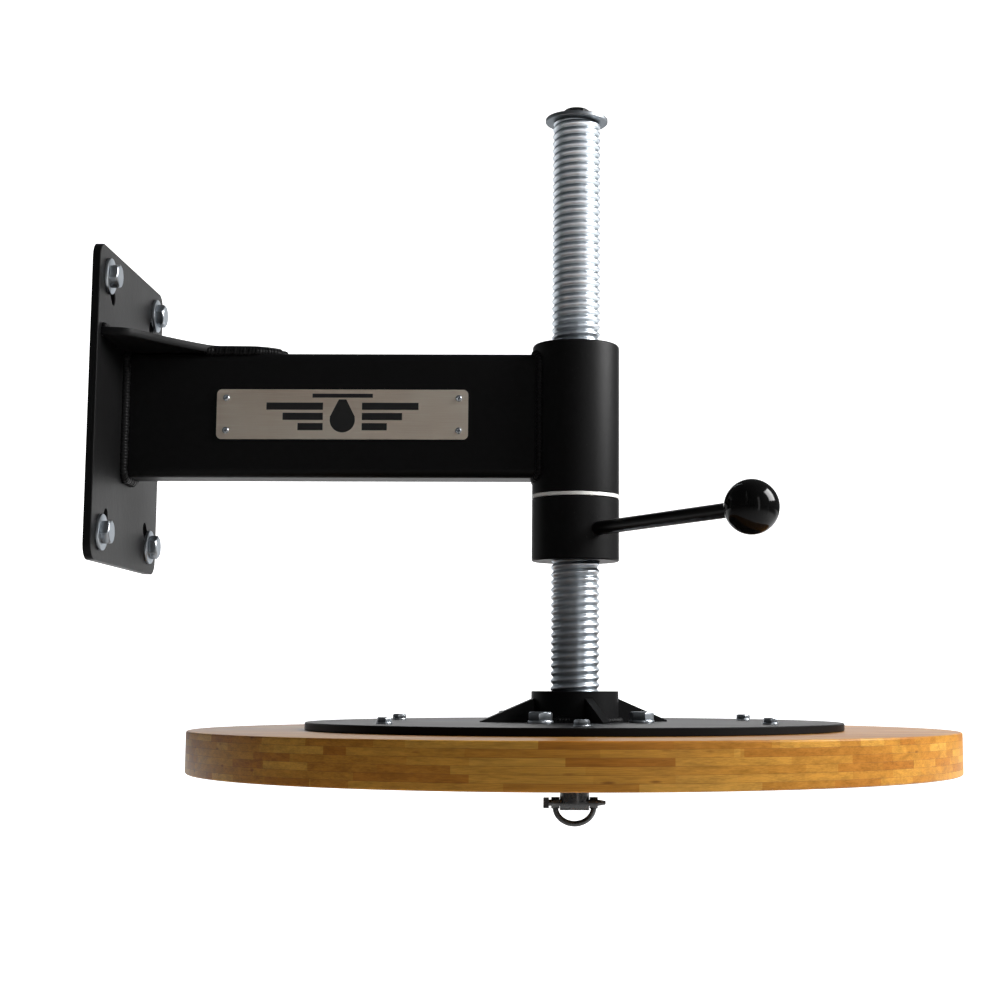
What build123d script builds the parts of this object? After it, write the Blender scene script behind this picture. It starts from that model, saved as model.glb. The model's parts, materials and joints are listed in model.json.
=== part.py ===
"""Wall-mounted, height-adjustable speed bag platform.

Frame, in millimetres: the origin is the centre of the wall plate's back face,
+X runs out of the wall along the arm, +Y across the plate and +Z up.
"""
import os
from math import cos, radians, sin

from build123d import *

# Wall plate and its fixings
plate_thick = 6
plate_width = 202
plate_height = 242
plate_corner = 12
bolt_y = 75
bolt_z = 99
slot_width = 11
slot_outward = 3
slot_inward = 20
wall_bolt_dia = 10
wall_bolt_end = 0.5
wall_head_across_flats = 17
wall_head_height = 6.4
wall_washer_dia = 28
wall_washer_thick = 2.5

# Arm, a rectangular hollow section
arm_height = 100
arm_width = 40
arm_wall = 4
arm_corner = 7
axis_x = plate_thick + 360
weld_leg = 5.5

# Gusset plate lying on top of the arm
gusset_thick = 6
gusset_root_half = 94
gusset_tongue_half = 16
gusset_length = 124

# Nameplate on the arm's front side
name_length = 200
name_height = 40
name_thick = 1
name_x = 180.5
name_corner = 4
rivet_dia = 5
rivet_x = 92.5
rivet_z = 13

# Screw housing, lock washer, lock collar and lever
housing_dia = 70
housing_top = 59.5
housing_bottom = -62
body_gap = 0.3
lock_washer_thick = 2.7
collar_height = 50
lever_angle = -58.5
lever_dia = 11
lever_height = -91
lever_root_radius = 23
knob_dia = 39
knob_radius = 234.5
knob_socket = 14

# Lift screw, a trapezoidal thread drawn as ring grooves one pitch apart
screw_dia = 39
screw_root_dia = 35
screw_pitch = 6
screw_top = 245.5
screw_clearance = 0.3
stop_washer_dia = 51
stop_gap = 4
stop_bolt_dia = 12
stop_head_across_flats = 19
stop_head_height = 7.5
stop_bolt_depth = 30

# Hub, ribs and steel top plate
top_plate_dia = 422
top_plate_thick = 6
top_plate_top = -242
hub_dia = 69
hub_height = 24
rib_angle = 18.5
rib_reach = 77
rib_height = 18.5
rib_toe = 1
rib_thick = 6
hub_weld_leg = 4

# Board
board_dia = 600
board_thick = 32
board_edge_round = 1.5

# Fixings through the top plate
hub_bolt_circle = 58
hub_bolt_angle = rib_angle + 45
hub_bolt_dia = 10
hub_bolt_across_flats = 17
hub_bolt_head = 6.4
hub_bolt_washer_dia = 20
hub_bolt_washer_thick = 2
rim_screw_circle = 166
rim_screw_angle = 32
rim_screw_count = 6
rim_screw_dia = 6
rim_screw_across_flats = 10
rim_screw_head = 3.6
rim_screw_washer_dia = 12
rim_screw_washer_thick = 1.2
screw_bite = 24

# Bag fitting under the board
base_dia = 60
base_thick = 4
base_screw_circle = 22
base_screw_dia = 5
neck_dia = 23
pin_height = -305
barrel_dia = 12
barrel_length = 23
pin_dia = 5
pin_end = 24.5
eye_dia = 9
eye_width = 6.5
bow_wire_dia = 4.5
bow_bottom = -323.5

board_top = top_plate_top - top_plate_thick
board_bottom = board_top - board_thick
hub_top = top_plate_top + hub_height
lock_washer_top = housing_bottom - body_gap
collar_top = lock_washer_top - lock_washer_thick - body_gap
collar_bottom = collar_top - collar_height
screw_bore_dia = screw_dia + 2 * screw_clearance
base_bottom = board_bottom - base_thick

os.makedirs("parts", exist_ok=True)


def save(shape, name):
    """Writes one node's STEP file."""
    export_step(shape, f"parts/{name}.step")


def at_axis(height):
    """A place on the lift screw's axis."""
    return Pos(axis_x, 0, height)


def disc(radius, bottom, top):
    """An upright cylinder on the lift screw's axis."""
    return at_axis((bottom + top) / 2) * Cylinder(radius, top - bottom)


def around(count, radius, start):
    """Places evenly spaced on a circle round the lift screw's axis."""
    step = 360 / count
    angles = [radians(start + step * i) for i in range(count)]
    return [(axis_x + radius * cos(a), radius * sin(a)) for a in angles]


def hex_head(across_flats, height):
    """A hexagon head standing on the XY plane, its top corners turned away to a cone."""
    head = extrude(RegularPolygon(across_flats / 2, 6, major_radius=False), height)
    cone = Cone(across_flats / 2 + height * 1.7, across_flats / 2 * 0.95, height)
    return head & (Pos(0, 0, height / 2) * cone)


def group(solids):
    """Separate solids that share one node."""
    return Compound(children=list(solids))


# The wall plate has four diagonal slots, each with its bolt near the outer end.
plate = extrude(Plane.YZ * RectangleRounded(plate_width, plate_height, plate_corner), plate_thick)
wall_places = [(y, z) for y in (-bolt_y, bolt_y) for z in (-bolt_z, bolt_z)]
for y, z in wall_places:
    inward = 45 if y * z > 0 else -45
    shift = (slot_inward - slot_outward) / 2 * cos(radians(45))
    centre_y = y - shift * (1 if y > 0 else -1)
    centre_z = z - shift * (1 if z > 0 else -1)
    slot = SlotCenterToCenter(slot_inward + slot_outward, slot_width)
    plate -= extrude(Plane.YZ * Pos(centre_y, centre_z) * Rot(0, 0, inward) * slot, plate_thick)
plate = fillet(plate.edges().filter_by(Plane.YZ).group_by(Axis.X)[-1].sort_by(SortBy.LENGTH)[-8:], 0.8)
save(plate, "wall_plate")

wall_bolts = []
wall_washers = []
for y, z in wall_places:
    face = plate_thick + wall_washer_thick
    shank_length = face - wall_bolt_end
    shank = Pos(face - shank_length / 2, y, z) * Rot(0, 90, 0) * Cylinder(wall_bolt_dia / 2, shank_length)
    head = Pos(face, y, z) * Rot(0, 90, 0) * hex_head(wall_head_across_flats, wall_head_height)
    wall_bolts.append(shank + head)
    washer = Cylinder(wall_washer_dia / 2, wall_washer_thick) - Cylinder(wall_bolt_dia / 2, 9)
    wall_washers.append(Pos(plate_thick + wall_washer_thick / 2, y, z) * Rot(0, 90, 0) * washer)
save(group(wall_bolts), "wall_bolts")
save(group(wall_washers), "wall_washers")

# The arm is coped to sit round the housing.
arm_section = Plane.YZ * RectangleRounded(arm_width, arm_height, arm_corner)
arm_hollow = RectangleRounded(arm_width - 2 * arm_wall, arm_height - 2 * arm_wall, arm_corner - arm_wall)
arm_solid = Pos(plate_thick, 0, 0) * extrude(arm_section, axis_x - plate_thick)
arm_solid -= disc(housing_dia / 2, -80, 80)
arm = arm_solid - Pos(plate_thick, 0, 0) * extrude(Plane.YZ * arm_hollow, axis_x)

# The gusset is as wide as the plate at the wall and narrows to a tongue on the arm.
half_outline = [
    (0, gusset_root_half),
    (20, gusset_root_half - 4),
    (39, 58),
    (55, 35),
    (70, gusset_tongue_half + 1),
    (gusset_length - 20, gusset_tongue_half),
    (gusset_length - 7, gusset_tongue_half - 7),
    (gusset_length, 0),
]
ear = Line(half_outline[0], half_outline[1])
curve = Spline(half_outline[1:5])
tongue = Line(half_outline[4], half_outline[5])
tip = Spline(half_outline[5:8], tangents=[(1, 0), (0, -1)])
root_line = Line(half_outline[0], (0, 0))
middle_line = Line((0, 0), half_outline[7])
half_gusset = make_face(ear + curve + tongue + tip + root_line + middle_line)
gusset_face = half_gusset + mirror(half_gusset, Plane.XZ)
gusset = extrude(Pos(plate_thick, 0, arm_height / 2) * gusset_face, gusset_thick)
save(gusset, "top_gusset")

# Fillet welds: arm to wall plate, gusset to wall plate and arm to housing.
root_zone = RectangleRounded(arm_width + 2 * weld_leg, arm_height + 2 * weld_leg, arm_corner + weld_leg)
root_weld = Pos(plate_thick, 0, 0) * extrude(Plane.YZ * root_zone, weld_leg, taper=44)
root_weld -= Pos(plate_thick, 0, 0) * extrude(arm_section, weld_leg + 1)
root_weld -= Pos(plate_thick, 0, arm_height / 2 + weld_leg) * Box(4 * weld_leg, 100, 2 * weld_leg)
save(root_weld, "arm_root_weld")

bead_corners = Polyline((0, 0), (weld_leg - 2, 0), (0, weld_leg - 2), close=True)
bead_start = Pos(plate_thick, gusset_root_half - 4, arm_height / 2 + gusset_thick)
save(bead_start * extrude(Plane.XZ * make_face(bead_corners), 2 * gusset_root_half - 8), "gusset_weld")

bead = weld_leg - 2
bead_zone = RectangleRounded(arm_width + 2 * bead, arm_height + 2 * bead, arm_corner + bead)
housing_weld = Pos(axis_x - housing_dia, 0, 0) * extrude(Plane.YZ * bead_zone, housing_dia)
housing_weld &= disc(housing_dia / 2 + bead / 2, -80, 80)
housing_weld -= disc(housing_dia / 2, -80, 80)
housing_weld -= Pos(plate_thick, 0, 0) * extrude(arm_section, axis_x)
save(housing_weld, "housing_weld")

# Nameplate and rivets on the arm's front side.
name_front = -arm_width / 2 - name_thick
name_face = Plane.XZ * RectangleRounded(name_length, name_height, name_corner)
nameplate = extrude(Pos(name_x, -arm_width / 2, 0) * name_face, name_thick)
rivet_places = [(name_x + x, z) for x in (-rivet_x, rivet_x) for z in (-rivet_z, rivet_z)]
rivets = []
for x, z in rivet_places:
    shank = Pos(x, name_front + 1.5, z) * Rot(90, 0, 0) * Cylinder(1.5, 3)
    dome = Pos(x, name_front, z) * (Sphere(rivet_dia / 2) & Box(9, 2.4, 9))
    dome &= Pos(x, name_front - 5, z) * Box(9, 10, 9)
    nameplate -= shank
    rivets.append(shank + dome)
    arm -= shank
save(arm, "arm_tube")
save(nameplate, "nameplate")
save(group(rivets), "nameplate_rivets")

# The housing that the lift screw runs in.
housing = disc(housing_dia / 2, housing_bottom, housing_top)
housing = fillet(housing.edges().group_by(Axis.Z)[-1], 2.5)
housing -= disc(screw_bore_dia / 2, -80, 80)
save(housing, "screw_housing")

# The white lock washer and the round lock nut below it.
lock_washer = disc(housing_dia / 2, lock_washer_top - lock_washer_thick, lock_washer_top)
lock_washer -= disc(screw_bore_dia / 2, -80, 0)
save(lock_washer, "lock_washer")

collar = disc(housing_dia / 2, collar_bottom, collar_top)
collar = chamfer(collar.edges(), 0.8)
collar -= disc(screw_bore_dia / 2, collar_bottom - 1, collar_top + 1)
lever_place = at_axis(lever_height) * Rot(0, 0, lever_angle) * Rot(0, 90, 0)
rod_end = knob_radius - knob_dia / 2 + knob_socket
rod_length = rod_end - lever_root_radius
rod = lever_place * Pos(0, 0, lever_root_radius + rod_length / 2) * Cylinder(lever_dia / 2, rod_length)
collar -= rod
save(collar, "lock_collar")
save(rod, "lever_rod")
knob = lever_place * Pos(0, 0, knob_radius) * Sphere(knob_dia / 2)
neck_length = knob_dia / 2 + 2
knob += lever_place * Pos(0, 0, knob_radius - neck_length / 2) * Cylinder(lever_dia / 2 + 2.5, neck_length)
save(knob - rod, "lever_knob")

# The lift screw, from the top plate up to the stop washer.
root = screw_root_dia / 2
crest = screw_dia / 2
profile = [(0, top_plate_top), (crest, top_plate_top), (crest, hub_top + 2)]
turns = int((screw_top - hub_top - 4) / screw_pitch)
for turn in range(turns):
    z = hub_top + 2 + turn * screw_pitch
    profile += [(root, z + 1.6), (root, z + 2.8), (crest, z + 4.4), (crest, z + screw_pitch)]
profile += [(crest, screw_top - 1), (crest - 1, screw_top), (0, screw_top)]
screw = at_axis(0) * revolve(make_face(Plane.XZ * Polyline(*profile, close=True)), Axis.Z)
screw -= disc(stop_bolt_dia / 2, screw_top - stop_bolt_depth, screw_top + 1)
save(screw, "lift_screw")

head_base = screw_top + stop_gap
stop_washer = disc(stop_washer_dia / 2, screw_top + body_gap, head_base - body_gap)
stop_washer = chamfer(stop_washer.edges(), 0.6)
stop_washer -= disc(stop_bolt_dia / 2 + body_gap, screw_top - 1, screw_top + 9)
save(stop_washer, "stop_washer")
stop_bolt = disc(stop_bolt_dia / 2, screw_top - stop_bolt_depth, head_base)
stop_bolt += at_axis(head_base) * hex_head(stop_head_across_flats, stop_head_height)
save(stop_bolt, "stop_bolt")

# The welded hub and its four ribs.
hub = disc(hub_dia / 2, top_plate_top, hub_top) - disc(screw_dia / 2, top_plate_top - 1, hub_top + 1)
save(hub, "hub_ring")
rib_inner = hub_dia / 2
rib_points = [
    (rib_inner, top_plate_top),
    (rib_reach, top_plate_top),
    (rib_reach, top_plate_top + rib_toe),
    (rib_inner, top_plate_top + rib_height),
]
rib_face = make_face(Plane.XZ * Polyline(*rib_points, close=True))
rib = Pos(0, rib_thick / 2, 0) * extrude(rib_face, rib_thick)
rib = rib - Pos(0, 0, top_plate_top) * Cylinder(rib_inner, 3 * hub_height)
ribs = [at_axis(0) * Rot(0, 0, rib_angle + 90 * i) * rib for i in range(4)]
save(group(ribs), "hub_ribs")
weld_ring = Cone(rib_inner + hub_weld_leg, rib_inner, hub_weld_leg)
hub_weld = at_axis(top_plate_top + hub_weld_leg / 2) * weld_ring
hub_weld -= disc(rib_inner, top_plate_top - 1, hub_top)
for rib in ribs:
    hub_weld -= rib
save(hub_weld, "hub_weld")

# Fixings: four bolts round the hub and six screws near the rim of the top plate.
top_plate = disc(top_plate_dia / 2, board_top, top_plate_top)
top_plate = chamfer(top_plate.edges(), 0.6)
board = disc(board_dia / 2, board_bottom, board_top)
board = fillet(board.edges(), board_edge_round)


def fixings(places, dia, across_flats, head_height, washer_dia, washer_thick):
    """Hexagon-headed screws with washers, through the top plate and into the board."""
    screws = []
    washers = []
    for x, y in places:
        face = top_plate_top + washer_thick
        length = washer_thick + top_plate_thick + screw_bite
        shank = Pos(x, y, face - length / 2) * Cylinder(dia / 2, length)
        screws.append(shank + Pos(x, y, face) * hex_head(across_flats, head_height))
        ring = Cylinder(washer_dia / 2, washer_thick) - Cylinder(dia / 2, 9)
        washers.append(Pos(x, y, top_plate_top + washer_thick / 2) * ring)
    return screws, washers


hub_places = around(4, hub_bolt_circle, hub_bolt_angle)
hub_screws, hub_washers = fixings(
    hub_places,
    hub_bolt_dia,
    hub_bolt_across_flats,
    hub_bolt_head,
    hub_bolt_washer_dia,
    hub_bolt_washer_thick,
)
rim_places = around(rim_screw_count, rim_screw_circle, rim_screw_angle)
rim_screws, rim_washers = fixings(
    rim_places,
    rim_screw_dia,
    rim_screw_across_flats,
    rim_screw_head,
    rim_screw_washer_dia,
    rim_screw_washer_thick,
)
for screws in (hub_screws, rim_screws):
    for one in screws:
        top_plate -= one
        board -= one
save(group(hub_screws), "hub_bolts")
save(group(hub_washers), "hub_bolt_washers")
save(group(rim_screws), "rim_screws")
save(group(rim_washers), "rim_screw_washers")
save(top_plate, "top_plate")

# Bag fitting: a flange screwed to the board, a neck with a cross barrel, a pin and a shackle bow.
base = disc(base_dia / 2, base_bottom, board_bottom)
base_screws = []
for x, y in around(4, base_screw_circle, 45):
    shank = Pos(x, y, board_bottom + 8 - 6) * Cylinder(base_screw_dia / 2, 20)
    head = Pos(x, y, base_bottom) * (Sphere(4.5) & Box(20, 20, 5) & Pos(0, 0, -5) * Box(20, 20, 10))
    one = shank & disc(base_dia, base_bottom, board_bottom + 12)
    one += head
    base -= one
    board -= one
    base_screws.append(one)
neck = disc(neck_dia / 2, pin_height, base_bottom)
barrel = at_axis(pin_height) * Rot(0, 90, 0) * Cylinder(barrel_dia / 2, barrel_length)
pin_bore = at_axis(pin_height) * Rot(0, 90, 0) * Cylinder(pin_dia / 2, 3 * barrel_length)
base = base + neck + barrel
base -= at_axis(pin_height - 20) * Box(100, 100, 40) - barrel
base -= pin_bore
save(board, "board")
save(base, "bag_fitting")
save(group(base_screws), "bag_fitting_screws")

pin = at_axis(pin_height) * Pos(-1.5, 0, 0) * Rot(0, 90, 0) * Cylinder(pin_dia / 2, 2 * pin_end - 9)
pin += at_axis(pin_height) * Pos(-pin_end + 2.2, 0, 0) * Box(4.4, 8, 8)
tip_place = at_axis(pin_height) * Pos(pin_end - 3, 0, 0) * Rot(0, 90, 0)
pin += tip_place * Cone(pin_dia / 2, pin_dia / 2 - 1, 6)
save(pin, "shackle_pin")

eye_x = barrel_length / 2 + body_gap + eye_width / 2
eye_drop = eye_dia / 2 - 1.2
bow_depth = pin_height - bow_bottom - bow_wire_dia / 2
bow_arc = EllipticalCenterArc((0, -eye_drop), eye_x, bow_depth - eye_drop, start_angle=180, arc_size=180)
path = Plane.XZ * bow_arc
bow = sweep(Plane(path @ 0, z_dir=path % 0) * Circle(bow_wire_dia / 2), path=path)
for x in (-eye_x, eye_x):
    bow += Pos(x, 0, 0) * Rot(0, 90, 0) * Cylinder(eye_dia / 2, eye_width)
for x in (-eye_x, eye_x):
    bow -= Pos(x, 0, 0) * Rot(0, 90, 0) * Cylinder(pin_dia / 2 + 0.08, 2 * eye_width)
save(at_axis(pin_height) * bow, "shackle_bow")
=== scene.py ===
# %% [markdown]
# A speed bag platform that hangs on a wall. A round board is carried by a thick lift screw,
# the screw runs in a housing at the end of a steel arm, and a round nut with a lever locks it.
# The measured model is loaded first as a fixed frame. Its nodes are right in size and place,
# so here they get their finishes, and the pieces that need finer shapes are modelled anew.

# %% Load the frame
import json
import math

import bmesh
import bpy
from mathutils import Matrix, Vector


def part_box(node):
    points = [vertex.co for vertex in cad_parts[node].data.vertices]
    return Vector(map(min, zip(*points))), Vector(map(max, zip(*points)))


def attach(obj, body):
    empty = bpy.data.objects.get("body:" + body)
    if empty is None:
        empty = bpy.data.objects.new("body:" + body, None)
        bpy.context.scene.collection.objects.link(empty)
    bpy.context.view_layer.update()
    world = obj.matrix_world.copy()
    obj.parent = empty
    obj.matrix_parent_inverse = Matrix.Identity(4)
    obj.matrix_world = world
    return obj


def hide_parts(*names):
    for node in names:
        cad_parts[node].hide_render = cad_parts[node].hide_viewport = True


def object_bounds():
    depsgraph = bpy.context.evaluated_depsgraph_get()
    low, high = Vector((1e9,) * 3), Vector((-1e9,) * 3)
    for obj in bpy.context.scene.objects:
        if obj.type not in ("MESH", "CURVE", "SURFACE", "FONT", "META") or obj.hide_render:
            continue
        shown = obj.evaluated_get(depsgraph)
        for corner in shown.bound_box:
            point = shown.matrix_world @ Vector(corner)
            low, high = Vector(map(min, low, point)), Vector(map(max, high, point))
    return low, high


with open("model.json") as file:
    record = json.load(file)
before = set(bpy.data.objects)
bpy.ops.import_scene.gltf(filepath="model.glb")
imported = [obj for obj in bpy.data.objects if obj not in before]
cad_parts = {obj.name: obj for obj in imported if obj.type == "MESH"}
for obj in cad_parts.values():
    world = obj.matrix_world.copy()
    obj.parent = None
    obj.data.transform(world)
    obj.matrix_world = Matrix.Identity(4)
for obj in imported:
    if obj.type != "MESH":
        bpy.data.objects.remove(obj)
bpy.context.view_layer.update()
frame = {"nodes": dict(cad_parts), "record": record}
nodes = frame["nodes"]

# %% [markdown]
# Every place below is read from the frame, so a piece always lands where the solid one is.
# The lift screw's axis is the line that nearly everything is turned about.

# %% Places read from the frame
screw_low, screw_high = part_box("lift_screw")
axis_x = (screw_low.x + screw_high.x) / 2
board_low, board_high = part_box("board")
arm_low, arm_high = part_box("arm_tube")
housing_low, housing_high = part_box("screw_housing")
floor_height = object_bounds()[0].z - 0.42
print("screw axis at x =", round(axis_x, 4))

# %% [markdown]
# The camera stands a little below the arm and looks slightly up, so the board is seen almost
# edge-on while the top of the screw shows its underside. The lens is a short telephoto. A
# small sideways shift keeps the wall plate and the board both inside the square picture.

# %% Camera
camera_data = bpy.data.cameras.new("camera")
camera = bpy.data.objects.new("camera", camera_data)
bpy.context.scene.collection.objects.link(camera)
bpy.context.scene.camera = camera
camera_data.sensor_width = 36.0
camera_data.lens = 64.37
camera_data.shift_x = -0.0857
camera_data.shift_y = -0.0341
camera.location = (axis_x + 0.0074, -1.4273, -0.2142)
tilt_up = 0.12267
turn_right = 0.0005
roll = 0.0025
camera.rotation_euler = (
    Matrix.Rotation(-turn_right, 3, "Z")
    @ Matrix.Rotation(math.pi / 2 + tilt_up, 3, "X")
    @ Matrix.Rotation(roll, 3, "Z")
).to_euler()
print("camera", tuple(round(v, 3) for v in camera.location))

# %% [markdown]
# Operators act on whatever is selected. These four helpers start each step from a known
# selection and mode, so that no step depends on what the one before it left behind.

# %% Helpers for operators
def nothing_selected():
    """Object mode with nothing selected, which every new piece starts from."""
    if bpy.context.object and bpy.context.object.mode != "OBJECT":
        bpy.ops.object.mode_set(mode="OBJECT")
    bpy.ops.object.select_all(action="DESELECT")


def only(piece):
    """Makes one object the only selected one, and active."""
    nothing_selected()
    piece.select_set(True)
    bpy.context.view_layer.objects.active = piece


def place_in_mesh(piece):
    """Moves an object's place, turn and scale into its mesh."""
    only(piece)
    bpy.ops.object.transform_apply(location=True, rotation=True, scale=True)


def wait_in_edit(piece, kind="FACE"):
    """Edit mode on one object, with nothing selected."""
    only(piece)
    bpy.ops.object.mode_set(mode="EDIT")
    bpy.ops.mesh.select_mode(type=kind)
    bpy.ops.mesh.select_all(action="DESELECT")


# %% [markdown]
# The stage is a plain pale sweep: a floor that curves up into a wall far behind. A plane is
# scaled, its far edge is extruded twice, upwards and back, and the two folds are rounded by a
# bevel. A larger floor lies just under it, for views from the other sides.

# %% Floor and backdrop
nothing_selected()
bpy.ops.mesh.primitive_plane_add(size=1, location=(axis_x - 0.15, 0.2, floor_height))
sweep = bpy.context.object
sweep.name = "studio_sweep"
sweep.scale = (5.2, 9.0, 1)
place_in_mesh(sweep)
wait_in_edit(sweep, "EDGE")
mesh = bmesh.from_edit_mesh(sweep.data)
for edge in mesh.edges:
    edge.select = all(vert.co.y > 4.1 for vert in edge.verts)
bmesh.update_edit_mesh(sweep.data)
bpy.ops.mesh.extrude_region_move(TRANSFORM_OT_translate={"value": (0, 0.7, 0.5)})
bpy.ops.mesh.extrude_region_move(TRANSFORM_OT_translate={"value": (0, 0.2, 3.1)})
bpy.ops.object.mode_set(mode="OBJECT")
bevel = sweep.modifiers.new("round", "BEVEL")
bevel.width, bevel.segments, bevel.limit_method = 0.5, 8, "ANGLE"
bevel.angle_limit = math.radians(15)
only(sweep)
bpy.ops.object.modifier_apply(modifier="round")
bpy.ops.object.shade_smooth()
nothing_selected()
bpy.ops.mesh.primitive_plane_add(size=20, location=(axis_x, 0, floor_height - 0.003))
floor = bpy.context.object
floor.name = "studio_floor"
place_in_mesh(floor)
print("sweep faces", len(sweep.data.polygons))

# %% [markdown]
# Materials are made from nodes. A small helper adds a node and joins its inputs, so that each
# finish below reads like a recipe: coordinates, a pattern or two, then the shader's sockets.

# %% Helpers for materials
def new_material(name):
    """An empty node material with its shader, and the node tree to add to."""
    material = bpy.data.materials.new(name)
    material.use_nodes = True
    tree = material.node_tree
    shader = tree.nodes["Principled BSDF"]
    return material, tree, shader


def node(tree, kind, **inputs):
    """Adds a node. Sockets are set by name: to a value, or to another node's output."""
    made = tree.nodes.new("ShaderNode" + kind)
    for name, value in inputs.items():
        key = name.replace("_", " ")
        if not hasattr(value, "links"):
            if key in made.inputs:
                made.inputs[key].default_value = value
            else:
                setattr(made, name, value)
        else:
            tree.links.new(value, made.inputs[key])
    return made


def math_node(tree, operation, first, second=0.0, third=0.0):
    """A Math node's output, from numbers or other outputs."""
    made = tree.nodes.new("ShaderNodeMath")
    made.operation = operation
    for socket, value in zip(made.inputs, (first, second, third)):
        if hasattr(value, "links"):
            tree.links.new(value, socket)
        else:
            socket.default_value = value
    return made.outputs[0]


def position(tree, centre=(0, 0, 0), scale=(1, 1, 1)):
    """Object coordinates, moved and scaled by a Mapping node."""
    place = tree.nodes.new("ShaderNodeTexCoord").outputs["Object"]
    mapping = tree.nodes.new("ShaderNodeMapping")
    mapping.vector_type = "TEXTURE"
    mapping.inputs["Location"].default_value = centre
    mapping.inputs["Scale"].default_value = scale
    tree.links.new(place, mapping.inputs["Vector"])
    return mapping.outputs["Vector"]


def noise(tree, vector, scale, detail=3.0, roughness=0.5):
    """A noise pattern's grey output."""
    made = node(tree, "TexNoise", Vector=vector, Scale=scale, Detail=detail, Roughness=roughness)
    return made.outputs["Fac"]


def ramp(tree, value, *stops):
    """A colour ramp's output. Each stop is a place and a colour, or a place and a grey."""
    made = tree.nodes.new("ShaderNodeValToRGB")
    elements = made.color_ramp.elements
    while len(elements) < len(stops):
        elements.new(0.5)
    for element, (place, colour) in zip(elements, stops):
        element.position = place
        grey = isinstance(colour, (int, float))
        element.color = (colour, colour, colour, 1) if grey else (*colour, 1)
    tree.links.new(value, made.inputs["Fac"])
    return made.outputs["Color"]


def mix(tree, factor, first, second):
    """Mixes two colours by a factor."""
    made = tree.nodes.new("ShaderNodeMix")
    made.data_type = "RGBA"
    for index, value in ((0, factor), (6, first), (7, second)):
        socket = made.inputs[index]
        if hasattr(value, "links"):
            tree.links.new(value, socket)
        elif isinstance(value, (int, float)):
            socket.default_value = value
        else:
            socket.default_value = (*value, 1)
    return made.outputs[2]


def bump(tree, shader, height, strength, depth):
    """Bumps the surface by a grey height, in metres of depth."""
    made = node(tree, "Bump", Strength=strength, Distance=depth, Height=height)
    tree.links.new(made.outputs["Normal"], shader.inputs["Normal"])


# %% [markdown]
# Only the far part of the sweep glows, as a backdrop with its own lamps does. The near floor
# stays unlit, so that it doesn't throw light up under the board, and black paint mirrors the
# backdrop at its edges.

# %% Stage material
stage_white, tree, shader = new_material("stage_white")
shader.inputs["Base Color"].default_value = (0.93, 0.93, 0.93, 1)
shader.inputs["Roughness"].default_value = 0.9
shader.inputs["Emission Color"].default_value = (1, 1, 1, 1)
far = node(tree, "SeparateXYZ", Vector=position(tree)).outputs["Y"]
glow_start = 1.1
lit = math_node(tree, "MULTIPLY", math_node(tree, "SUBTRACT", far, glow_start), 1.6)
glow = node(tree, "Clamp", Value=lit, Min=0.0, Max=1.0)
tree.links.new(glow.outputs[0], shader.inputs["Emission Strength"])
sweep.data.materials.append(stage_white)
floor.data.materials.append(stage_white)

# %% [markdown]
# Black powder coat covers the bracket, the housing and the steel plates. It is a smooth paint
# with a faint orange-peel waviness, a little dust, and gloss that varies slightly from place
# to place. Two grains of noise give the waviness, and a large soft one varies the gloss.

# %% Black powder coat
def black_coat(name, gloss, peel, colour=(0.0052, 0.0052, 0.0054)):
    """Black coat of a given roughness and orange-peel depth in metres."""
    material, tree, shader = new_material(name)
    place = position(tree)
    patches = noise(tree, place, 9.0, 4.0)
    dust = noise(tree, place, 700.0, 2.0)
    specks = ramp(tree, dust, (0.68, 0.0), (0.80, 1.0))
    dusty = mix(tree, math_node(tree, "MULTIPLY", specks, 0.25), colour, (0.05, 0.05, 0.05))
    tree.links.new(dusty, shader.inputs["Base Color"])
    uneven = math_node(tree, "MULTIPLY_ADD", patches, 0.12, gloss - 0.06)
    speckled = math_node(tree, "MULTIPLY_ADD", specks, 0.12, uneven)
    tree.links.new(speckled, shader.inputs["Roughness"])
    small_waves, broad_waves = noise(tree, place, 260.0, 2.0), noise(tree, place, 90.0, 2.0)
    waves = math_node(tree, "MULTIPLY_ADD", small_waves, 0.6, broad_waves)
    bump(tree, shader, waves, 0.5, peel)
    shader.inputs["IOR"].default_value = 1.18
    return material


coat = black_coat("black_coat", 0.44, 0.00018)
gloss_paint = black_coat("gloss_paint", 0.30, 0.00008)
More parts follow.
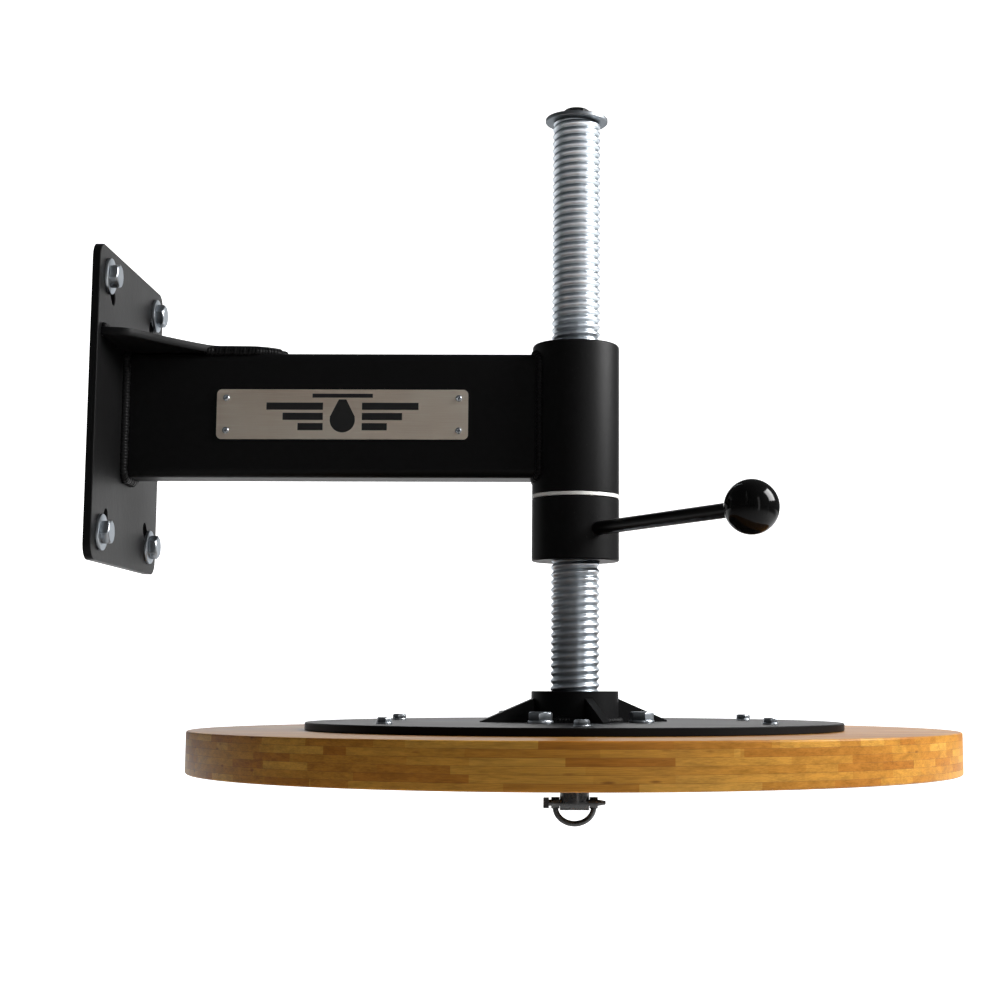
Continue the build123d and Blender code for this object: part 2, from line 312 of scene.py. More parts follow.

# %% [markdown]
# Bolts and washers are zinc plated. The plating is a bright, slightly blue metal with a fine
# crystal mottle, rougher and darker where the bath left it uneven. On the lift screw painted
# shade darkens the hollow between the thread's teeth, chosen by the distance from the screw's axis.

# %% Zinc plating
def zinc_plating(name, bright, rough=0.24, grain=420.0, groove_shade_radii=None):
    """Bright zinc with mottled colour and gloss, and painted shade in the thread's hollow between the
    (inner, outer) radii given.
    """
    material, tree, shader = new_material(name)
    place = position(tree)
    mottle = noise(tree, place, grain, 3.0)
    clouds = noise(tree, place, 60.0, 3.0)
    blend = math_node(tree, "MULTIPLY_ADD", mottle, 0.4, math_node(tree, "MULTIPLY", clouds, 0.6))
    tone = ramp(
        tree, blend,
        (0.30, (bright * 0.80, bright * 0.87, bright * 0.94)),
        (0.55, (bright * 0.94, bright, bright * 1.06)),
        (0.75, (bright * 1.06, bright * 1.08, bright * 1.08)),
    )
    # Painted shade: a darker zinc colour fills the hollow between the thread's teeth, set by distance
    # from the axis.
    if groove_shade_radii:
        from_axis = position(tree, centre=(axis_x, 0, 0))
        flat = node(tree, "VectorMath", operation="MULTIPLY", Vector=from_axis)
        flat.inputs[1].default_value = (1, 1, 0)
        reach = tree.nodes.new("ShaderNodeVectorMath")
        reach.operation = "LENGTH"
        tree.links.new(flat.outputs[0], reach.inputs[0])
        depth = tree.nodes.new("ShaderNodeMapRange")
        depth.inputs["From Min"].default_value, depth.inputs["From Max"].default_value = groove_shade_radii
        tree.links.new(reach.outputs["Value"], depth.inputs["Value"])
        tone = mix(tree, depth.outputs[0], (0.42, 0.46, 0.49), tone)
    tree.links.new(tone, shader.inputs["Base Color"])
    tree.links.new(math_node(tree, "MULTIPLY_ADD", mottle, 0.16, rough), shader.inputs["Roughness"])
    shader.inputs["Metallic"].default_value = 1.0
    shader.inputs["Specular Tint"].default_value = (0.55, 0.57, 0.59, 1)
    bump(tree, shader, mottle, 0.25, 0.00004)
    return material


zinc = zinc_plating("zinc", 0.44)
# A rougher zinc whose darker colour is painted shade, for the stop washer.
zinc_dull_and_shaded = zinc_plating("zinc_dull_and_shaded", 0.24, 0.36)
zinc_thread = zinc_plating("zinc_thread", 0.86, 0.26, 300.0, groove_shade_radii=(0.0175, 0.0189))

# %% [markdown]
# The stop bolt, the bag fitting and its shackle are dark steel: a thin black oxide that wears
# to bare metal where hooks rub on it.

# %% Dark steel
def dark_steel_finish():
    """Black oxide over steel, worn through in small patches."""
    material, tree, shader = new_material("dark_steel")
    place = position(tree)
    patches = noise(tree, place, 150.0, 5.0)
    worn = ramp(tree, patches, (0.60, 0.0), (0.74, 1.0))
    tone = mix(tree, worn, (0.060, 0.060, 0.060), (0.24, 0.24, 0.23))
    tree.links.new(tone, shader.inputs["Base Color"])
    tree.links.new(math_node(tree, "MULTIPLY_ADD", patches, 0.2, 0.18), shader.inputs["Roughness"])
    shader.inputs["Metallic"].default_value = 0.85
    bump(tree, shader, noise(tree, place, 900.0, 2.0), 0.3, 0.00008)
    return material


dark_steel = dark_steel_finish()

# %% [markdown]
# The lock washer is white nylon: a slightly waxy plastic with faint turning lines.

# %% Nylon
nylon, tree, shader = new_material("nylon")
place = position(tree, centre=(axis_x, 0, 0))
lines = node(
    tree, "TexWave", wave_type="RINGS", rings_direction="Z", Vector=place, Scale=900.0, Distortion=0.6
)
shade = mix(tree, noise(tree, place, 80.0), (0.72, 0.72, 0.68), (0.86, 0.86, 0.83))
tree.links.new(shade, shader.inputs["Base Color"])
uneven = noise(tree, place, 300.0)
tree.links.new(math_node(tree, "MULTIPLY_ADD", uneven, 0.2, 0.38), shader.inputs["Roughness"])
bump(tree, shader, lines.outputs["Fac"], 0.15, 0.00005)

# %% [markdown]
# The board is built up from thin strips glued in layers. Round the edge they show as lines of
# honey and brown, a few millimetres high, each strip ending after a hand's width or less. A
# layer number comes from the height, a strip number from the place along it, and a random
# colour is drawn for each pair. Long stretched noise gives the grain inside a strip, a thin
# dark line marks each seam, and a few small knots are picked out of a pattern of cells.

# %% Laminated wood
layer_height = (board_high.z - board_low.z) / 6
strip_length = 0.085
strip_width = 0.028


def wood_finish():
    """Layers of strips with grain, under a clear satin varnish."""
    material, tree, shader = new_material("board_wood")
    place = position(tree, centre=(axis_x, 0, board_low.z))
    parts = node(tree, "SeparateXYZ", Vector=place)
    layer = math_node(tree, "FLOOR", math_node(tree, "DIVIDE", parts.outputs["Z"], layer_height))
    shifted = node(tree, "TexWhiteNoise", noise_dimensions="1D", W=layer).outputs["Value"]
    lengths = math_node(tree, "DIVIDE", parts.outputs["X"], strip_length)
    widths = math_node(tree, "DIVIDE", parts.outputs["Y"], strip_width)
    along = math_node(tree, "MULTIPLY_ADD", shifted, 7.3, lengths)
    row = math_node(tree, "FLOOR", math_node(tree, "MULTIPLY_ADD", shifted, 3.1, widths))
    stagger = node(tree, "TexWhiteNoise", noise_dimensions="1D", W=row).outputs["Value"]
    run = math_node(tree, "MULTIPLY_ADD", stagger, 2.7, along)
    number = node(tree, "CombineXYZ", X=math_node(tree, "FLOOR", run), Y=row, Z=layer)
    drawn = node(tree, "TexWhiteNoise", noise_dimensions="3D", Vector=number.outputs["Vector"])
    tone = ramp(
        tree, drawn.outputs["Value"],
        (0.0, (0.37, 0.140, 0.019)),
        (0.35, (0.44, 0.190, 0.027)),
        (0.7, (0.50, 0.235, 0.036)),
        (1.0, (0.56, 0.285, 0.050)),
    )
    grain_place = position(tree, centre=(axis_x, 0, 0), scale=(1.0, 0.10, 0.045))
    grain = noise(tree, grain_place, 14.0, 6.0, 0.62)
    fine = noise(tree, grain_place, 60.0, 3.0, 0.6)
    streaks = math_node(tree, "MULTIPLY_ADD", fine, 0.4, math_node(tree, "MULTIPLY", grain, 0.6))
    dark = ramp(tree, streaks, (0.38, 0.50), (0.60, 1.0))
    grained = tree.nodes.new("ShaderNodeMix")
    grained.data_type, grained.blend_type = "RGBA", "MULTIPLY"
    grained.inputs[0].default_value = 0.75
    tree.links.new(tone, grained.inputs[6])
    tree.links.new(dark, grained.inputs[7])
    above = math_node(tree, "FRACT", math_node(tree, "DIVIDE", parts.outputs["Z"], layer_height))
    seam = math_node(tree, "COMPARE", above, 0.0, 0.05)
    seam_colour, knot_colour = (0.12, 0.05, 0.015), (0.13, 0.045, 0.010)
    seamed = mix(tree, math_node(tree, "MULTIPLY", seam, 0.55), grained.outputs[2], seam_colour)
    cells = position(tree, centre=(axis_x, 0, 0.001), scale=(0.03, 0.012, 0.006))
    spots = node(tree, "TexVoronoi", Vector=cells, Scale=1.0)
    small = ramp(tree, spots.outputs["Distance"], (0.08, 1.0), (0.20, 0.0))
    picked = node(tree, "SeparateColor", Color=spots.outputs["Color"]).outputs[0]
    knot = math_node(tree, "MULTIPLY", small, math_node(tree, "GREATER_THAN", picked, 0.72))
    knotted = mix(tree, math_node(tree, "MULTIPLY", knot, 0.7), seamed, knot_colour)
    tree.links.new(knotted, shader.inputs["Base Color"])
    tree.links.new(math_node(tree, "MULTIPLY_ADD", grain, 0.18, 0.30), shader.inputs["Roughness"])
    shader.inputs["IOR"].default_value = 1.2
    bump(tree, shader, math_node(tree, "SUBTRACT", fine, seam), 0.25, 0.00025)
    return material


board_wood = wood_finish()

# %% [markdown]
# The nameplate is brushed stainless steel, with brush lines along its length. Its printed mark
# is a plain picture of a hanging speed bag between bars, cut out of the plate's colour by
# distances: a teardrop is a circle and a cone, and each bar is a box.

# %% Nameplate finish
name_low, name_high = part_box("nameplate")
name_centre = (name_low + name_high) / 2


def nameplate_finish():
    """Brushed steel with a printed black picture."""
    material, tree, shader = new_material("name_steel")
    place = position(tree, centre=name_centre)
    brushed = position(tree, centre=name_centre, scale=(0.06, 1.0, 0.0011))
    lines = noise(tree, brushed, 1.6, 4.0, 0.7)
    broad = noise(tree, place, 14.0, 2.0)
    steel = ramp(
        tree, math_node(tree, "MULTIPLY_ADD", broad, 0.6, math_node(tree, "MULTIPLY", lines, 0.4)),
        (0.30, (0.78, 0.61, 0.48)),
        (0.50, (0.92, 0.79, 0.65)),
        (0.68, (1.00, 0.92, 0.78)),
    )
    parts = node(tree, "SeparateXYZ", Vector=place)
    x, z = parts.outputs["X"], parts.outputs["Z"]

    def inside(value):
        """1 where a distance in metres is below zero, with a fine soft edge."""
        return math_node(tree, "SMOOTH_MIN", 1.0, math_node(
            tree, "MAXIMUM", math_node(tree, "MULTIPLY_ADD", value, -6000.0, 0.5), 0.0), 0.01)

    def beyond(value, middle, half):
        """How far a coordinate lies outside a span."""
        offset = math_node(tree, "ABSOLUTE", math_node(tree, "SUBTRACT", value, middle))
        return math_node(tree, "SUBTRACT", offset, half)

    def bar(mid_x, mid_z, half_x, half_z):
        """Distance to an upright box."""
        return math_node(tree, "MAXIMUM", beyond(x, mid_x, half_x), beyond(z, mid_z, half_z))

    down = math_node(tree, "SUBTRACT", z, -0.0045)
    x_squared = math_node(tree, "MULTIPLY", x, x)
    down_squared = math_node(tree, "MULTIPLY", down, down)
    from_middle = math_node(tree, "SQRT", math_node(tree, "ADD", x_squared, down_squared))
    round_part = math_node(tree, "SUBTRACT", from_middle, 0.0100)
    slope = math_node(tree, "MULTIPLY_ADD", down, 0.50, math_node(tree, "ABSOLUTE", x))
    cone = math_node(tree, "MAXIMUM", math_node(tree, "SUBTRACT", slope, 0.0112),
                     math_node(tree, "SUBTRACT", 0.0022, down))
    cone = math_node(tree, "MAXIMUM", cone, math_node(tree, "SUBTRACT", down, 0.0165))
    mark = math_node(tree, "MINIMUM", round_part, cone)
    mark = math_node(tree, "MINIMUM", mark, bar(0.0, 0.0150, 0.024, 0.0016))
    for side in (-1, 1):
        for step, half in ((0, 0.0225), (1, 0.0160), (2, 0.0100)):
            stripe = bar(side * (0.0155 + half), 0.0065 - 0.0082 * step, half, 0.0029)
            mark = math_node(tree, "MINIMUM", mark, stripe)
    ink = inside(mark)
    tree.links.new(mix(tree, ink, steel, (0.006, 0.006, 0.006)), shader.inputs["Base Color"])
    tree.links.new(math_node(tree, "SUBTRACT", 1.0, ink), shader.inputs["Metallic"])
    tree.links.new(math_node(tree, "MULTIPLY_ADD", lines, 0.25, 0.30), shader.inputs["Roughness"])
    bump(tree, shader, lines, 0.25, 0.00006)
    return material


name_steel = nameplate_finish()

# %% [markdown]
# The knob is polished black phenolic resin, nearly a mirror, with the faintest waviness left
# by polishing and a few hairline scuffs from hands.

# %% Knob finish
knob_black, tree, shader = new_material("knob_black")
place = position(tree)
hairlines = noise(tree, position(tree, scale=(0.004, 0.03, 0.03)), 1.0, 5.0, 0.7)
scuffs = ramp(tree, hairlines, (0.62, 0.0), (0.72, 1.0))
tree.links.new(mix(tree, scuffs, (0.003, 0.003, 0.003), (0.02, 0.02, 0.02)), shader.inputs["Base Color"])
tree.links.new(math_node(tree, "MULTIPLY_ADD", scuffs, 0.18, 0.11), shader.inputs["Roughness"])
shader.inputs["IOR"].default_value = 1.22
bump(tree, shader, noise(tree, place, 60.0), 0.2, 0.0001)

# %% [markdown]
# Each solid in the frame names its material slot, and that slot picks one of the finishes. The
# stop washer is the one exception: it gets a rougher zinc whose colour is darkened as painted shade.

# %% Finishes on the frame's own nodes
finishes = {
    "zinc": zinc,
    "zinc_thread": zinc_thread,
    "black_coat": coat,
    "black_gloss": gloss_paint,
    "dark_steel": dark_steel,
    "name_steel": name_steel,
    "rivet_metal": zinc,
    "nylon": nylon,
    "knob_black": knob_black,
    "board_wood": board_wood,
}
slot_of = {part["node"]: part["material_slot"] for part in frame["record"]["subparts"]}
for name, piece in nodes.items():
    piece.data.materials.clear()
    piece.data.materials.append(finishes[slot_of[name]])
# Painted shade: the stop washer gets the darker, rougher copy of the zinc.
nodes["stop_washer"].data.materials[0] = zinc_dull_and_shaded
print("nodes given a finish:", len(nodes))

# %% [markdown]
# Turned parts start as one point, pulled from corner to corner into half an outline, which is
# then spun round the axis like work on a lathe. The same helper makes washers, rivets, the
# knob and the housing, with their corners broken as a lathe tool leaves them.

# %% Helpers for modelling
def draw_outline(name, outline):
    """One vertex, extruded from point to point, draws an outline in the XZ plane."""
    nothing_selected()
    bpy.ops.mesh.primitive_plane_add(size=0.001, location=(0, 0, 0))
    piece = bpy.context.object
    piece.name = name
    bpy.ops.object.mode_set(mode="EDIT")
    bpy.ops.mesh.select_mode(type="VERT")
    bpy.ops.mesh.select_all(action="SELECT")
    bpy.ops.mesh.merge(type="CENTER")
    bpy.ops.transform.translate(value=(outline[0][0], 0, outline[0][1]))
    for here, there in zip(outline, outline[1:]):
        step = (there[0] - here[0], 0, there[1] - here[1])
        bpy.ops.mesh.extrude_vertices_move(TRANSFORM_OT_translate={"value": step})
    return piece


def close_up(gap=0.000005):
    """Welds doubled points and turns normals outwards, then leaves edit mode."""
    bpy.ops.mesh.select_all(action="SELECT")
    bpy.ops.mesh.remove_doubles(threshold=gap)
    bpy.ops.mesh.normals_make_consistent(inside=False)
    bpy.ops.object.mode_set(mode="OBJECT")


def lathe(name, outline, steps=96):
    """A turned piece about the Z axis, from (radius, height) corners."""
    piece = draw_outline(name, outline)
    bpy.ops.mesh.select_all(action="SELECT")
    bpy.ops.mesh.spin(steps=steps, angle=2 * math.pi, center=(0, 0, 0), axis=(0, 0, 1))
    close_up()
    bpy.ops.object.shade_smooth_by_angle(angle=math.radians(32))
    return piece


def set_down(piece, at, turn=(0, 0, 0)):
    """Turns and moves a piece, then applies both."""
    piece.rotation_euler = turn
    piece.location = at
    place_in_mesh(piece)
    return piece


def join(name, parts):
    """Several pieces become one."""
    nothing_selected()
    for part in parts:
        part.select_set(True)
    bpy.context.view_layer.objects.active = parts[0]
    bpy.ops.object.join()
    bpy.context.object.name = name
    return bpy.context.object


def boolean(piece, tool, operation):
    """Cuts or keeps what lies inside the tool, which is then removed."""
    cut = piece.modifiers.new("cut", "BOOLEAN")
    cut.operation, cut.object, cut.solver = operation, tool, "EXACT"
    only(piece)
    bpy.ops.object.modifier_apply(modifier="cut")
    bpy.data.objects.remove(tool)


def dress(piece, body, replaced, finish):
    """Finish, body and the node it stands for."""
    piece.data.materials.clear()
    piece.data.materials.append(finish)
    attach(piece, body)
    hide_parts(*replaced)
    print(piece.name, "faces", len(piece.data.polygons))
    return piece


# %% [markdown]
# The thread is the part people see first, so it is modelled as a true helix. One tooth of the
# thread's outline is drawn, and the screw modifier turns it round the axis while it climbs one
# pitch a turn. The crests are rounded, as rolled threads are. The ends are cut off square.

# %% Lift screw
pitch = 0.006
crest = (screw_high.x - screw_low.x) / 2
root = crest - 0.0020
hub_low, hub_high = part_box("hub_ring")
thread_start = hub_high.z - 0.012
thread_turns = int((screw_high.z - thread_start) / pitch) + 2
tooth = [
    (crest - 0.00055, 0.0),
    (root + 0.0005, 0.0011),
    (root + 0.0001, 0.0015),
    (root, 0.0019),
    (root + 0.0001, 0.0023),
    (root + 0.0005, 0.0027),
    (crest - 0.00055, 0.0038),
    (crest - 0.00015, 0.0042),
    (crest, 0.0047),
    (crest, 0.0051),
    (crest - 0.00015, 0.0056),
    (crest - 0.00055, 0.0060),
]
lift_screw = draw_outline("lift_screw_thread", tooth)
bpy.ops.object.mode_set(mode="OBJECT")
turning = lift_screw.modifiers.new("thread", "SCREW")
turning.screw_offset = pitch
turning.iterations = thread_turns
turning.steps = turning.render_steps = 56
only(lift_screw)
bpy.ops.object.modifier_apply(modifier="thread")
set_down(lift_screw, (axis_x, 0, thread_start - pitch))
wait_in_edit(lift_screw)
bpy.ops.mesh.select_all(action="SELECT")
bpy.ops.mesh.remove_doubles(threshold=0.00003)
for height, top in ((thread_start, False), (screw_high.z - 0.0006, True)):
    bpy.ops.mesh.select_all(action="SELECT")
    bpy.ops.mesh.bisect(
        plane_co=(axis_x, 0, height), plane_no=(0, 0, 1),
        use_fill=True, clear_outer=top, clear_inner=not top,
    )
close_up(0.00001)
bpy.ops.object.shade_smooth_by_angle(angle=math.radians(40))
dress(lift_screw, "platform", ["lift_screw"], zinc_thread)

# %% [markdown]
# A hexagon head is cut from bar: six flats, then the top corners are turned off at an angle,
# which leaves a curved edge on each flat. An intersection of a prism and a turned blank gives
# just that. All the bolts on this piece are made by this one helper, at their own sizes.

# %% Bolts and washers
def hex_bolt(across_flats, height, shank, below):
    """A bolt whose head stands on z = 0 and whose shank goes down."""
    nothing_selected()
    corner, flat = across_flats / math.sqrt(3), across_flats / 2
    middle = (0, 0, height / 2)
    bpy.ops.mesh.primitive_cylinder_add(vertices=6, radius=corner, depth=height, location=middle)
    head = bpy.context.object
    place_in_mesh(head)
    shoulder = height - 0.30 * (corner - flat) - 0.0009
    blank = lathe("blank", [
        (0, -0.001), (corner * 1.02, -0.001), (corner * 1.02, shoulder),
        (flat * 0.97, height - 0.0002), (flat * 0.94, height), (0, height),
    ], 48)
    # The blank is a hair shorter than the prism, so that their tops never coincide.
    blank.scale = (1, 1, 0.9995)
    boolean(head, blank, "INTERSECT")
    edges = head.modifiers.new("edges", "BEVEL")
    edges.width, edges.segments, edges.angle_limit = 0.0003, 2, math.radians(40)
    only(head)
    bpy.ops.object.modifier_apply(modifier="edges")
    bpy.ops.object.shade_smooth_by_angle(angle=math.radians(30))
    point = 0.0006
    body = lathe("shank", [
        (0, 0.0005), (shank / 2, 0.0005), (shank / 2, point - below), (shank / 2 - point, -below),
        (0, -below),
    ], 32)
    return join("bolt", [head, body])


def washer(outer, hole, thick):
    """A flat washer standing on z = 0, with its edges rounded by stamping."""
    soft = min(thick * 0.3, 0.0006)
    return lathe("washer", [
        (hole / 2, 0), (outer / 2 - soft * 0.4, 0), (outer / 2, soft * 0.4), (outer / 2, thick - soft),
        (outer / 2 - soft * 0.35, thick - soft * 0.35), (outer / 2 - soft, thick),
        (hole / 2 + soft * 0.5, thick), (hole / 2, thick - soft * 0.5), (hole / 2, 0),
    ], 64)


quarter = math.pi / 2
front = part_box("wall_plate")[1].x
bolt_flats, bolt_height, bolt_shank = 0.017, 0.0064, 0.010
bolt_y, bolt_z = 0.075, 0.099
corners = (
    (0.30, -bolt_y, bolt_z), (0.85, bolt_y, bolt_z),
    (0.12, -bolt_y, -bolt_z), (0.55, bolt_y, -bolt_z),
)
wall_bolts = []
wall_washers = []
for twist, y, z in corners:
    one = hex_bolt(bolt_flats, bolt_height, bolt_shank, 0.008)
    set_down(one, (0, 0, 0), (0, 0, twist))
    wall_bolts.append(set_down(one, (front + 0.0025, y, z), (0, quarter, 0)))
    ring = washer(0.028, 0.0105, 0.0025)
    wall_washers.append(set_down(ring, (front, y, z), (0, quarter, 0)))
dress(join("wall_bolt_heads", wall_bolts), "wall_bracket", ["wall_bolts"], zinc)
dress(join("wall_bolt_washers", wall_washers), "wall_bracket", ["wall_washers"], zinc)

plate_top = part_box("top_plate")[1].z


def bolt_circle(names, replaced, count, first, circle, flats, height, shank, outer, thick):
    """Bolts and washers on a circle on the top plate, the first at an angle in degrees."""
    bolts, rings = [], []
    for step in range(count):
        angle = math.radians(first + 360 / count * step)
        x, y = axis_x + circle * math.cos(angle), circle * math.sin(angle)
        one = hex_bolt(flats, height, shank, 0.030)
        bolts.append(set_down(one, (x, y, plate_top + thick), (0, 0, 0.37 * step + 0.2)))
        rings.append(set_down(washer(outer, shank + 0.0005, thick), (x, y, plate_top)))
    for name, parts, node_name in zip(names, (bolts, rings), replaced):
        dress(join(name, parts), "platform", [node_name], zinc)


bolt_circle(
    ("hub_bolt_heads", "hub_washers"), ("hub_bolts", "hub_bolt_washers"), count=4, first=63.5,
    circle=0.058, flats=bolt_flats, height=bolt_height, shank=bolt_shank, outer=0.020, thick=0.002,
)
bolt_circle(
    ("rim_screw_heads", "rim_washers"), ("rim_screws", "rim_screw_washers"), count=6, first=32,
    circle=0.166, flats=0.010, height=0.0036, shank=0.006, outer=0.012, thick=0.0012,
)

# %% [markdown]
# The nameplate is held by four blind rivets. Each has a domed flange with a round hole in the
# middle, where the pulled pin has broken off a little below the surface.

# %% Rivets
rivet_outline = [
    (0, 0.0001), (0.00085, 0.0001), (0.00095, 0.0003), (0.00115, 0.0013), (0.0014, 0.00145),
    (0.0019, 0.00125), (0.0024, 0.00075), (0.00265, 0.0002), (0.00265, -0.0001),
    (0.0015, -0.0001), (0.0015, -0.003), (0, -0.003),
]
rivets = []
for x in (-0.0925, 0.0925):
    for z in (-0.013, 0.013):
        rivet = lathe("rivet", rivet_outline, 40)
        place = (name_centre.x + x, name_low.y, name_centre.z + z)
        rivets.append(set_down(rivet, place, (quarter, 0, 0)))
dress(join("name_rivets", rivets), "wall_bracket", ["nameplate_rivets"], zinc)

# %% [markdown]
# A weld bead is a row of small pools of metal, each laid over the last, which leaves fish-scale
# ripples. One flattened drop is repeated every two or three millimetres along the joint.

# %% Weld beads
def bead(name, path, radius, step=0.0024, closed=False):
    """Overlapping drops along a path of points."""
    if closed:
        path = path + [path[0]]
    places = []
    spare = 0.0
    for here, there in zip(path, path[1:]):
        length = (there - here).length
        while spare < length:
            places.append((here.lerp(there, spare / length), (there - here).normalized()))
            spare += step
        spare -= length
    drops = bmesh.new()
    for count, (place, along) in enumerate(places):
        wobble = 1 + 0.05 * math.sin(count * 2.3) + 0.04 * math.sin(count * 0.71)
        turn = along.to_track_quat("Z", "Y").to_matrix().to_4x4()
        size = Matrix.Diagonal((radius * wobble, radius * wobble, radius * 0.8, 1))
        bmesh.ops.create_uvsphere(drops, u_segments=12, v_segments=7, radius=1,
                                  matrix=Matrix.Translation(place) @ turn @ size)
    nothing_selected()
    bpy.ops.mesh.primitive_plane_add(size=0.001)
    piece = bpy.context.object
    piece.name = name
    drops.to_mesh(piece.data)
    drops.free()
    only(piece)
    bpy.ops.object.shade_smooth()
    return piece


def rounded_rectangle(half_wide, half_high, corner, steps=6):
    """Points of a rounded rectangle, as (across, up)."""
    points = []
    for quarter_turn in range(4):
        sign_y = 1 if quarter_turn in (0, 3) else -1
        sign_z = 1 if quarter_turn in (0, 1) else -1
        for step in range(steps + 1):
            angle = (quarter_turn + step / steps) * quarter
            points.append((sign_y * (half_wide - corner) + corner * math.cos(angle),
                           sign_z * (half_high - corner) + corner * math.sin(angle)))
    return points


half_y, half_z = (arm_high.y - arm_low.y) / 2, (arm_high.z - arm_low.z) / 2
outline = rounded_rectangle(half_y + 0.001, half_z + 0.001, 0.008)
# From under the gusset on one side, down, below the arm and up the other side.
around = outline[6::-1] + outline[:6:-1]
root_path = [Vector((front + 0.001, y, z)) for y, z in around if z < half_z - 0.0005]
dress(bead("arm_root_bead", root_path, 0.0042), "wall_bracket", ["arm_root_weld"], coat)

lap = 0.0006
housing_radius = (housing_high.x - housing_low.x) / 2
ring_path = []
for y, z in rounded_rectangle(half_y + lap, half_z + lap, 0.0075):
    ring_path.append(Vector((axis_x - math.sqrt(housing_radius ** 2 - y * y) - lap, y, z)))
housing_bead = bead("housing_bead", ring_path, 0.0030, closed=True)
dress(housing_bead, "wall_bracket", ["housing_weld"], coat)

gusset_low, gusset_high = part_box("top_gusset")
gusset_path = [Vector((front + 0.0008, y, gusset_high.z + 0.0008)) for y in (-0.089, 0.089)]
dress(bead("gusset_bead", gusset_path, 0.0034), "wall_bracket", ["gusset_weld"], coat)

bead_circle = (hub_high.x - hub_low.x) / 2 + lap
hub_path = []
for step in range(72):
    angle = math.radians(5 * step)
    x, y = axis_x + bead_circle * math.cos(angle), bead_circle * math.sin(angle)
    hub_path.append(Vector((x, y, plate_top + lap)))
dress(bead("hub_bead", hub_path, 0.0032, closed=True), "platform", ["hub_weld"], coat)

# %% [markdown]
# The gusset is flame-cut from plate: wide at the wall, then narrowing in a smooth sweep to a
# tongue on the arm. Half of its outline is drawn and mirrored, filled and pulled up to the
# plate's thickness. The upright edges are then rounded widely and all rims broken a little. A
# bead of weld runs round the tongue and holds it to the arm.

# %% Gusset
millimetre = 0.001
gusset_half = [(0, 94), (20, 90), (39, 58), (55, 35), (70, 17), (104, 16), (117, 9)]
gusset_points = gusset_half + [(124, 0)] + [(x, -y) for x, y in reversed(gusset_half)] + gusset_half[:1]
gusset = draw_outline("gusset_plate", [(x * millimetre, y * millimetre) for x, y in gusset_points])
bpy.ops.mesh.select_all(action="SELECT")
bpy.ops.mesh.remove_doubles(threshold=0.00001)
bpy.ops.mesh.select_all(action="SELECT")
bpy.ops.mesh.edge_face_add()
gusset_thick = gusset_high.z - gusset_low.z
bpy.ops.mesh.extrude_region_move(TRANSFORM_OT_translate={"value": (0, gusset_thick, 0)})
close_up()
wait_in_edit(gusset, "EDGE")
mesh = bmesh.from_edit_mesh(gusset.data)
for edge in mesh.edges:
    low, high = edge.verts[0].co, edge.verts[1].co
    edge.select = abs(low.x - high.x) + abs(low.z - high.z) < 0.00001 and low.x > 0.001
bmesh.update_edit_mesh(gusset.data)
bpy.ops.mesh.bevel(offset=0.011, segments=5, clamp_overlap=True)
bpy.ops.object.mode_set(mode="OBJECT")
rims = gusset.modifiers.new("rims", "BEVEL")
rims.width, rims.segments, rims.limit_method = 0.0006, 2, "ANGLE"
rims.angle_limit = math.radians(60)
only(gusset)
bpy.ops.object.modifier_apply(modifier="rims")
set_down(gusset, (front, 0, gusset_low.z), (quarter, 0, 0))
bpy.ops.object.shade_smooth_by_angle(angle=math.radians(30))
tongue = [(0.066, -0.0190), (0.071, -0.0172), (0.104, -0.0166), (0.1176, -0.0096), (0.1248, 0.0)]
tongue_path = [Vector((front + x, y, gusset_low.z + 0.0012)) for x, y in tongue]
tongue_path += [Vector((point.x, -point.y, point.z)) for point in reversed(tongue_path[:-1])]
tongue_bead = bead("tongue_bead", tongue_path, 0.0036)
gusset = join("gusset_plate", [gusset, tongue_bead])
dress(gusset, "wall_bracket", ["top_gusset"], coat)

# %% [markdown]
# The housing and the lock nut are turned from 70 mm bar. The housing's top corner is rounded
# and the nut's corners are chamfered. The knob is a ball with a short collar towards the rod.

# %% Housing, lock nut and knob
bore = 0.0198
tall = housing_high.z - housing_low.z
housing = lathe("housing_tube", [
    (bore, 0), (0.0345, 0), (0.035, 0.0005), (0.035, tall - 0.0025), (0.0348, tall - 0.0015),
    (0.0343, tall - 0.0007), (0.0335, tall - 0.0002), (0.0325, tall), (bore + 0.0012, tall),
    (bore, tall - 0.0012), (bore, 0),
], 128)
set_down(housing, (axis_x, 0, housing_low.z))
dress(housing, "wall_bracket", ["screw_housing"], coat)

nut_low, nut_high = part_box("lock_collar")
nut = lathe("lock_nut_body", [
    (bore, nut_low.z), (0.0342, nut_low.z), (0.0350, nut_low.z + 0.0008),
    (0.0350, nut_high.z - 0.0008), (0.0342, nut_high.z), (bore, nut_high.z), (bore, nut_low.z),
], 128)
set_down(nut, (axis_x, 0, 0))
dress(nut, "lock_nut", ["lock_collar"], coat)

ball = 0.0195
neck = 0.0080
arc_start = math.asin(neck / ball)
knob_outline = [
    (0, -0.0215), (neck - 0.0005, -0.0215), (neck, -0.0210), (neck, -ball * math.cos(arc_start)),
]
for step in range(1, 33):
    angle = arc_start + (math.pi - arc_start) * step / 32
    knob_outline.append((max(0.0, ball * math.sin(angle)), -ball * math.cos(angle)))
knob = lathe("knob_ball", knob_outline, 64)
lever_turn, lever_reach, lever_height = math.radians(-58.5), 0.2345, -0.091
knob_x, knob_y = axis_x + lever_reach * math.cos(lever_turn), lever_reach * math.sin(lever_turn)
set_down(knob, (knob_x, knob_y, lever_height), (0, quarter, lever_turn))
dress(knob, "lock_nut", ["lever_knob"], knob_black)

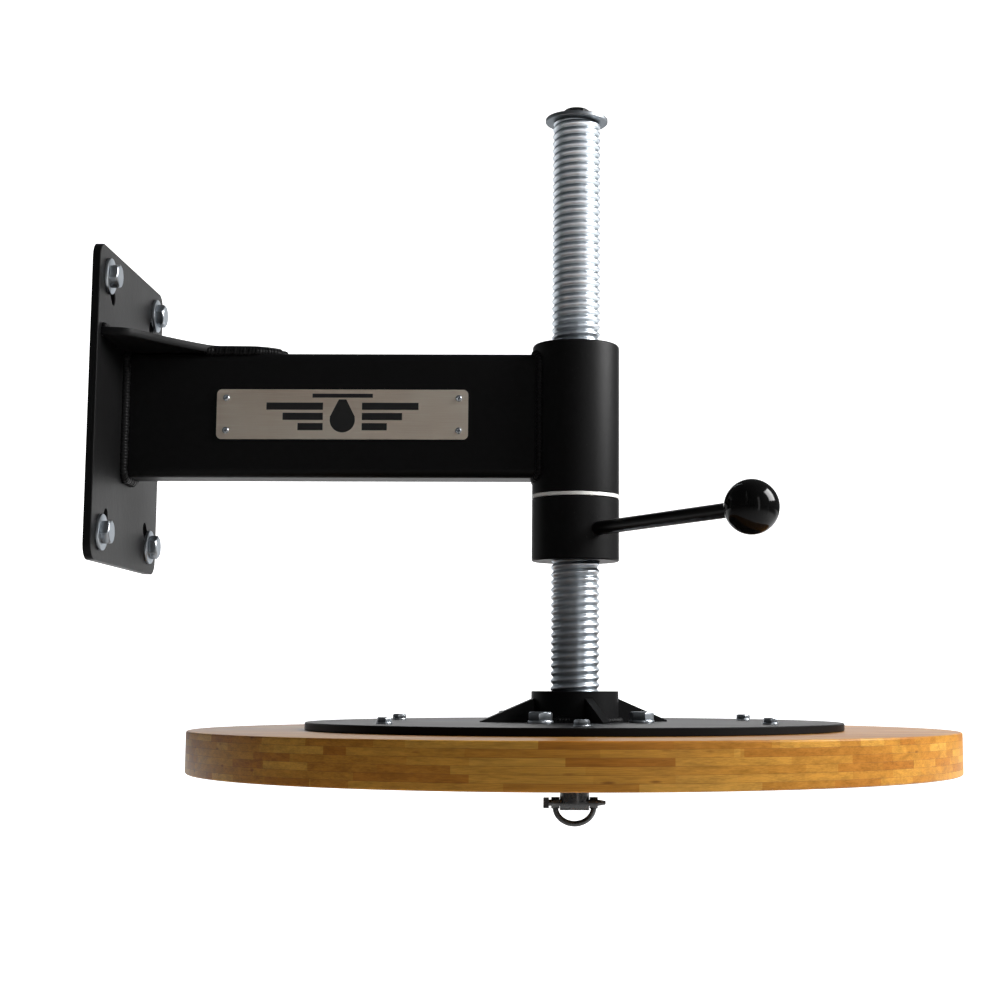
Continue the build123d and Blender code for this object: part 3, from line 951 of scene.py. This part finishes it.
# %% [markdown]
# The board is a disc with its corners rounded over by a router and sanded. Its own shape is
# simple: the strips, grain, seams and small knots all come from the finish.

# %% Board
soft = 0.0016
flat_radius = (board_high.x - board_low.x) / 2 - soft
turns = [quarter * step / 5 for step in range(6)]
board_outline = [(0, board_low.z)]
for angle in turns:
    rise = board_low.z + soft - soft * math.cos(angle)
    board_outline.append((flat_radius + soft * math.sin(angle), rise))
for angle in turns:
    rise = board_high.z - soft + soft * math.sin(angle)
    board_outline.append((flat_radius + soft * math.cos(angle), rise))
board_outline.append((0, board_high.z))
board = lathe("laminated_board", board_outline, 256)
set_down(board, (axis_x, 0, 0))
dress(board, "platform", ["board"], board_wood)

# %% [markdown]
# Light comes from one large soft box high on the right, almost in line with the board, so its
# right half glows and its left half stays a deep brown. A tall, narrow strip nearer the camera
# widens the bright band down the screw without flattening the wood, and a dim box behind on
# the left lifts the metal's left edge.

# %% Lights
def soft_box(name, place, aim, wide, high, power):
    """A rectangular area light that faces a point."""
    data = bpy.data.lights.new(name, "AREA")
    data.shape, data.size, data.size_y, data.energy = "RECTANGLE", wide, high, power
    light = bpy.data.objects.new(name, data)
    bpy.context.scene.collection.objects.link(light)
    light.location = place
    light.visible_camera = False
    light.rotation_euler = (Vector(aim) - Vector(place)).to_track_quat("-Z", "Y").to_euler()


middle = (axis_x, 0, -0.1)
soft_box("key_right", (axis_x + 1.87, -0.10, 1.06), middle, 1.2, 1.2, 118)
soft_box("strip_right_front", (axis_x + 0.95, -1.95, 0.15), middle, 0.26, 2.0, 4.2)
soft_box("edge_left", (axis_x - 2.1, 1.15, 0.25), middle, 2.0, 1.8, 3.6)
world = bpy.data.worlds.new("studio")
bpy.context.scene.world = world
world.use_nodes = True
background = world.node_tree.nodes["Background"]
background.inputs["Color"].default_value = (0.95, 0.97, 1.0, 1)
background.inputs["Strength"].default_value = 0.085
bpy.context.scene.view_settings.view_transform = "Standard"
print("lights", len(bpy.data.lights))

# %% [markdown]
# Last, nothing is left selected.

# %% Clear the selection
nothing_selected()
